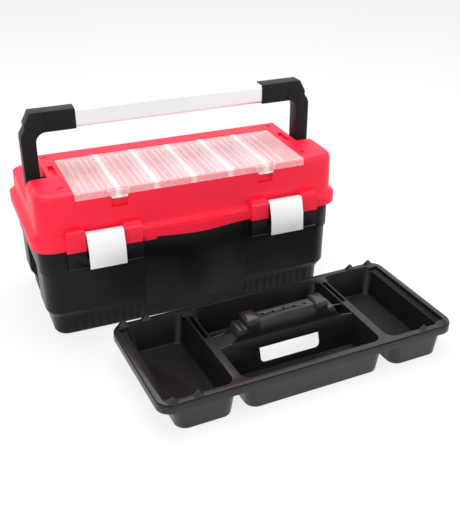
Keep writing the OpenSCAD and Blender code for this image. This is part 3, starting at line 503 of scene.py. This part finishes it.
class Shop:
    """Turns bmeshes into pieces that ride on the frame."""

    @staticmethod
    def piece(name: str, mesh: bmesh.types.BMesh, body: str, *finishes: Finish,
              smooth: float = 35.0, replaces: Sequence[str] = ()) -> bpy.types.Object:
        """Makes an object of a bmesh and hangs it on its body.

        Args:
            name: the piece's name.
            mesh: the bmesh, which is freed.
            body: the body that it rides on.
            finishes: its finishes, in the order of its faces' material numbers.
            smooth: edges flatter than this many degrees are shaded smooth.
            replaces: CAD nodes that it stands for.

        Returns:
            The new object.
        """
        data = bpy.data.meshes.new(name)
        for face in mesh.faces:
            face.smooth = True
        for line in mesh.edges:
            if len(line.link_faces) == 2:
                line.smooth = line.calc_face_angle(0.0) < math.radians(smooth)
        mesh.to_mesh(data)
        mesh.free()
        made = bpy.data.objects.new(name, data)
        bpy.context.scene.collection.objects.link(made)
        for finish in finishes:
            data.materials.append(Paint.get(finish))
        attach(made, body)
        if replaces:
            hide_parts(*replaces)
        LOG.info("%s rides on %s with %d faces", name, body, len(data.polygons))
        return made

    @staticmethod
    def softened(node: str, width: float, segments: int = 2, sharp: float = 32.0) -> bmesh.types.BMesh:
        """A copy of a CAD node's mesh, merged and with its sharp edges rounded.

        Args:
            node: the node's name.
            width: the width of the rounding, in metres.
            segments: the rounding's steps.
            sharp: edges bent by more than this many degrees are rounded.

        Returns:
            The new bmesh; the rounding's faces have the material number 1.
        """
        mesh = bmesh.new()
        mesh.from_mesh(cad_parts[node].data)
        for face in mesh.faces:
            face.material_index = 0
        bmesh.ops.remove_doubles(mesh, verts=mesh.verts, dist=3e-6)
        bmesh.ops.dissolve_limit(mesh, angle_limit=math.radians(0.5), verts=mesh.verts,
                                 edges=mesh.edges, use_dissolve_boundaries=False)
        edges = [e for e in mesh.edges
                 if len(e.link_faces) == 2 and e.calc_face_angle(0.0) > math.radians(sharp)]
        made = bmesh.ops.bevel(mesh, geom=edges, offset=width, offset_type="OFFSET", segments=segments,
                               profile=0.5, affect="EDGES", clamp_overlap=True, material=-1)
        for face in made["faces"]:
            face.material_index = 1
        return mesh

    @staticmethod
    def bar(mesh: bmesh.types.BMesh, low: Colour, high: Colour, rounding: float) -> None:
        """Adds a bar with rounded edges, given by its two corners in metres, to a bmesh.

        Args:
            mesh: the bmesh.
            low: the bar's lowest corner.
            high: its highest corner.
            rounding: the width of the rounding.
        """
        made = bmesh.ops.create_cube(mesh, size=1.0)["verts"]
        centre = (Vector(low) + Vector(high)) / 2.0
        bmesh.ops.scale(mesh, vec=Vector(high) - Vector(low), verts=made)
        bmesh.ops.translate(mesh, vec=centre, verts=made)
        lines = list({e for v in made for e in v.link_edges})
        bmesh.ops.bevel(mesh, geom=lines, offset=rounding, offset_type="OFFSET", segments=1,
                        profile=0.5, affect="EDGES", clamp_overlap=True, material=-1)


# ---------------------------------------------------------------- sub-assemblies


@dataclass
class Moulding:
    """A piece that follows its CAD solid, with softened edges."""

    node: str
    body: str
    finish: Finish
    width: float = 0.8 * MM
    segments: int = 2
    edge: Optional[Finish] = None
    smooth: float = 35.0

    def build(self) -> bpy.types.Object:
        """Builds the piece.

        Returns:
            The piece's object.
        """
        mesh = Shop.softened(self.node, self.width, self.segments)
        finishes = [self.finish, self.edge] if self.edge else [self.finish]
        for face in mesh.faces:
            face.material_index = min(face.material_index, len(finishes) - 1)
        return Shop.piece(self.node + "_shell", mesh, self.body, *finishes, smooth=self.smooth,
                          replaces=[self.node])


@dataclass
class Tub:
    """The black tub, whose flutes and guards keep small radii."""

    rounding: float = 0.9 * MM

    def build(self) -> None:
        """Builds the tub."""
        Moulding("tub", "tub", Finish.BLACK, self.rounding).build()


@dataclass
class Lid:
    """The red lid and its four arrow marks: thin sheets on its top, dark red as painted shade for
    recessed marks.
    """

    rounding: float = 1.1 * MM
    crisp: float = 17.0
    lens_half: float = 118.0 * MM
    lens_z: tuple[float, float] = (186.0 * MM, 232.0 * MM)
    lens_lean: tuple[float, float] = (0.22, 0.62)
    marks: Sequence[tuple[float, float, float]] = (
        (-0.2145, -0.0935, 1.0), (0.2125, -0.0965, -1.0), (-0.2125, 0.046, 1.0), (0.2125, 0.046, -1.0))
    arrow: float = 6.4 * MM
    stem: float = 5.4 * MM
    stem_length: float = 8.0 * MM
    stem_back: float = 0.9
    head_out: float = 3.0 * MM
    head_rear: float = 1.0 * MM
    stem_rear: float = -0.6 * MM
    taper: float = 0.9
    sheet: float = 0.22 * MM
    sheet_round: float = 0.1 * MM

    def build(self) -> None:
        """Builds the lid, then its marks."""
        mesh = Shop.softened("lid", self.rounding)
        for face in mesh.faces:
            # Faces of the swelling get the paler red, a painted highlight.
            face.material_index = int(self.on_lens(face))
        Shop.piece("lid_shell", mesh, "lid", Finish.RED, Finish.LENS, smooth=self.crisp,
                   replaces=["lid"])
        self.arrows()

    def on_lens(self, face: bmesh.types.BMFace) -> bool:
        """Tells whether a face belongs to the swelling over the bowed lip, whose paler red is a painted
        highlight.

        Args:
            face: a face of the lid.

        Returns:
            True on the swelling.
        """
        centre = face.calc_center_median()
        leans = face.normal.y < -0.7 and self.lens_lean[0] < face.normal.z < self.lens_lean[1]
        return leans and abs(centre.x) < self.lens_half and self.lens_z[0] < centre.z < self.lens_z[1]

    def arrows(self) -> None:
        """Lays the four marks on the lid's top as thin sheets, dark red as painted shade."""
        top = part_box("lid")[1][2]
        mesh = bmesh.new()
        for x, y, way in self.marks:
            head = bmesh.ops.create_cone(mesh, cap_ends=True, segments=3, radius1=self.arrow,
                                         radius2=self.arrow * self.taper, depth=2 * self.sheet)["verts"]
            turn = Matrix.Rotation(math.radians(-90.0 * way), 3, "Z")
            bmesh.ops.rotate(mesh, matrix=turn, verts=head)
            bmesh.ops.translate(mesh, vec=(x + way * self.head_out, y + self.head_rear, top), verts=head)
            stem_x = x - self.stem_length * self.stem_back
            Shop.bar(mesh, (stem_x, y - self.stem, top - self.sheet),
                     (stem_x + self.stem_length, y + self.stem_rear, top + self.sheet), self.sheet_round)
        Shop.piece("lid_marks", mesh, "lid", Finish.MARK_SHADE, smooth=20.0)


@dataclass
class Organiser:
    """The clear dividers, frosted by the grain of their mould."""

    count: int = 5
    rounding: float = 0.3 * MM

    def build(self) -> None:
        """Builds the dividers."""
        for number in range(1, self.count + 1):
            Moulding("organiser_divider_%d" % number, "lid", Finish.FROSTED, self.rounding).build()


@dataclass
class Cover:
    """The clear cover: plate, skirt and fine ribs, edges that catch the light, and two clips."""

    cells: int = 6
    reach: float = 193.0 * MM
    front: float = -116.0 * MM
    rear: float = 18.5 * MM
    pairs: Sequence[float] = (-21.0 * MM, -11.0 * MM, 3.0 * MM, 12.5 * MM, 22.0 * MM)
    pair_gap: float = 2.4 * MM
    rib: float = 0.7 * MM
    depth: float = 1.1 * MM
    rib_round: float = 0.12 * MM
    plate: float = 2.7 * MM
    bite: float = 0.1 * MM
    rounding: float = 0.5 * MM
    clip_rounding: float = 0.45 * MM
    clear_right: float = 172.0 * MM

    def build(self) -> None:
        """Builds the cover, its fine ribs and its clips."""
        self.skirted_plate()
        for side in ("left", "right"):
            name = "cover_clip_" + side
            Moulding(name, name, Finish.CLEAR, self.clip_rounding, 1, Finish.EDGE).build()
        self.fine_ribs()

    def skirted_plate(self) -> None:
        """Builds the cover's plate, whose skirt is clearer than its ribbed top."""
        mesh = Shop.softened("organiser_cover", self.rounding)
        for face in mesh.faces:
            if face.material_index == 0 and face.normal.y < -0.7:
                face.material_index = 2
        Shop.piece("organiser_cover_shell", mesh, "organiser_cover", Finish.CLEAR, Finish.EDGE,
                   Finish.SKIRT, replaces=["organiser_cover"])

    def fine_ribs(self) -> None:
        """Adds the pairs of fine ribs under the plate, over each cell."""
        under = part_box("organiser_cover")[1][2] - self.plate
        cell = 2.0 * self.reach / self.cells
        mesh = bmesh.new()
        for number in range(self.cells):
            middle = -self.reach + (number + 0.5) * cell
            for shift in self.pairs:
                for side in (-0.5, 0.5):
                    x = middle + shift + side * self.pair_gap
                    if x < self.clear_right:
                        Shop.bar(mesh, (x - self.rib / 2, self.front, under - self.depth),
                                 (x + self.rib / 2, self.rear, under + self.bite), self.rib_round)
        Shop.piece("cover_fine_ribs", mesh, "organiser_cover", Finish.RIB)


@dataclass
class Handle:
    """The bright grip between its two black elbows and arms."""

    grip_rounding: float = 0.5 * MM
    elbow_rounding: float = 1.6 * MM

    def build(self) -> None:
        """Builds the grip and both arms."""
        Moulding("handle_grip", "handle", Finish.GRIP, self.grip_rounding).build()
        for side in ("left", "right"):
            Moulding("handle_arm_" + side, "handle", Finish.ELBOW, self.elbow_rounding, 3).build()


@dataclass
class Latches:
    """The two bent sheet-steel latches."""

    rounding: float = 0.35 * MM

    def build(self) -> None:
        """Builds both latches."""
        for side in ("left", "right"):
            Moulding("latch_" + side, "latch_" + side, Finish.LATCH, self.rounding).build()


@dataclass
class Tray:
    """The tote tray that stands in front of the tub."""

    rounding: float = 0.7 * MM

    def build(self) -> None:
        """Builds the tray; faces inside its pockets have less shine and a darker copy of its colour as
        painted shade.
        """
        mesh = Shop.softened("tote_tray", self.rounding)
        shape = BVHTree.FromBMesh(mesh)
        for face in mesh.faces:
            # Faces inside the pockets get the darker copy, a painted shade.
            face.material_index = int(self.enclosed(face, shape))
        Shop.piece("tote_tray_shell", mesh, "tote_tray", Finish.TRAY, Finish.INNER,
                   replaces=["tote_tray"])

    def enclosed(self, face: bmesh.types.BMFace, shape: BVHTree) -> bool:
        """Tells whether the tray's walls stand all round a face, as they do in its pockets, whose faces
        are painted with shade.

        Args:
            face: a face of the tray.
            shape: the tray's mesh, ready for casting rays.

        Returns:
            True in a pocket.
        """
        start = face.calc_center_median() + face.normal * self.rounding
        ways = ((1.0, 0.0, 0.0), (-1.0, 0.0, 0.0), (0.0, 1.0, 0.0), (0.0, -1.0, 0.0))
        return all(shape.ray_cast(start, Vector(way))[0] is not None for way in ways)


@dataclass
class Pins:
    """The plain metal pins, which keep their CAD shapes."""

    def build(self) -> None:
        """Gives each pin its finish."""
        for name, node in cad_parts.items():
            if "pin" in name or "pivot" in name:
                Paint.on(node, Finish.PIN)
                LOG.info("%s keeps its shape", name)


# ---------------------------------------------------------------- studio


@dataclass(frozen=True)
class Lamp:
    """A soft rectangular lamp, in metres and watts."""

    name: str
    place: Colour
    aim: Colour
    width: float
    height: float
    power: float

    def hang(self) -> None:
        """Adds the lamp to the scene."""
        data = bpy.data.lights.new(self.name, "AREA")
        data.shape = "RECTANGLE"
        data.size = self.width
        data.size_y = self.height
        data.energy = self.power
        made = bpy.data.objects.new(self.name, data)
        made.location = self.place
        towards = Vector(self.aim) - Vector(self.place)
        made.rotation_euler = towards.to_track_quat("-Z", "Y").to_euler()
        bpy.context.scene.collection.objects.link(made)


@dataclass
class Studio:
    """Camera, lamps, world and floor."""

    place: Colour = (-0.409, -1.279, 0.784)
    down: float = 28.59
    yaw: float = 22.23
    lens: float = 63.5
    world_light: float = 0.42
    floor_size: float = 12.0
    floor_drop: float = 0.4 * MM
    floor_grey: float = 0.92
    floor_glow: float = 0.80
    lamps: Sequence[Lamp] = (
        Lamp("overhead", (0.15, 0.35, 1.9), (0.0, 0.0, 0.15), 2.2, 1.6, 42.0),
        Lamp("key", (-1.3, -1.5, 1.5), (0.0, -0.05, 0.15), 1.4, 1.0, 17.0),
        Lamp("fill", (1.6, -1.0, 0.9), (0.05, -0.05, 0.12), 1.0, 1.0, 7.0))

    def build(self) -> None:
        """Builds the whole studio."""
        self.camera()
        self.world()
        self.floor()
        for lamp in self.lamps:
            lamp.hang()

    def camera(self) -> None:
        """Sets the camera at the photograph's place."""
        data = bpy.data.cameras.new("camera")
        data.lens = self.lens
        data.sensor_width = 36.0
        data.sensor_fit = "HORIZONTAL"
        made = bpy.data.objects.new("camera", data)
        made.location = self.place
        made.rotation_euler = (math.radians(90.0 - self.down), 0.0, math.radians(-self.yaw))
        bpy.context.scene.collection.objects.link(made)
        bpy.context.scene.camera = made

    def seen(self, graph: Graph) -> "Value":
        """Tells the rays that see the background from those that light the box.

        Args:
            graph: the graph that asks.

        Returns:
            1 for rays from the camera, off gloss or through glass, otherwise 0.
        """
        path = graph.node("ShaderNodeLightPath")
        rays = [Value(graph, path.outputs[key])
                for key in ("Is Camera Ray", "Is Glossy Ray", "Is Transmission Ray")]
        return rays[0].maths("ADD", rays[0] + rays[1], rays[2], clamp=True)

    def world(self) -> None:
        """A white studio all round."""
        made = bpy.data.worlds.new("studio")
        graph = Graph(made)
        seen = self.seen(graph)
        strength = self.world_light + seen * (1.0 - self.world_light)
        back = graph.node("ShaderNodeBackground", Color=(1.0, 1.0, 1.0), Strength=strength)
        graph.node("ShaderNodeOutputWorld", Surface=back.outputs[0])
        bpy.context.scene.world = made

    def floor(self) -> None:
        """A pale floor that keeps the shadow and runs into the white."""
        mesh = bmesh.new()
        bmesh.ops.create_grid(mesh, x_segments=1, y_segments=1, size=self.floor_size)
        bmesh.ops.translate(mesh, vec=(0.0, 0.0, -self.floor_drop), verts=mesh.verts)
        data = bpy.data.meshes.new("floor")
        mesh.to_mesh(data)
        mesh.free()
        made = bpy.data.objects.new("floor", data)
        bpy.context.scene.collection.objects.link(made)
        graph = Graph.of_material("studio floor")
        seen = self.seen(graph)
        matt = graph.node("ShaderNodeBsdfDiffuse", Color=(self.floor_grey,) * 3)
        glow = graph.node("ShaderNodeEmission", Color=(1.0, 1.0, 1.0), Strength=1.0)
        both = graph.node("ShaderNodeMixShader", Fac=seen * self.floor_glow)
        graph.plug(both.inputs[1], matt.outputs[0])
        graph.plug(both.inputs[2], glow.outputs[0])
        graph.node("ShaderNodeOutputMaterial", Surface=both.outputs[0])
        data.materials.append(graph.owner)


def main() -> None:
    """Builds the studio, then dresses the box from the floor up."""
    logging.basicConfig(level=logging.INFO, format="%(message)s")
    bpy.context.scene.view_settings.view_transform = "Standard"
    for part in (Studio(), Tub(), Lid(), Organiser(), Cover(), Handle(), Latches(), Tray(), Pins()):
        LOG.info("building the %s", type(part).__name__.lower())
        part.build()


if __name__ == "__main__":
    main()
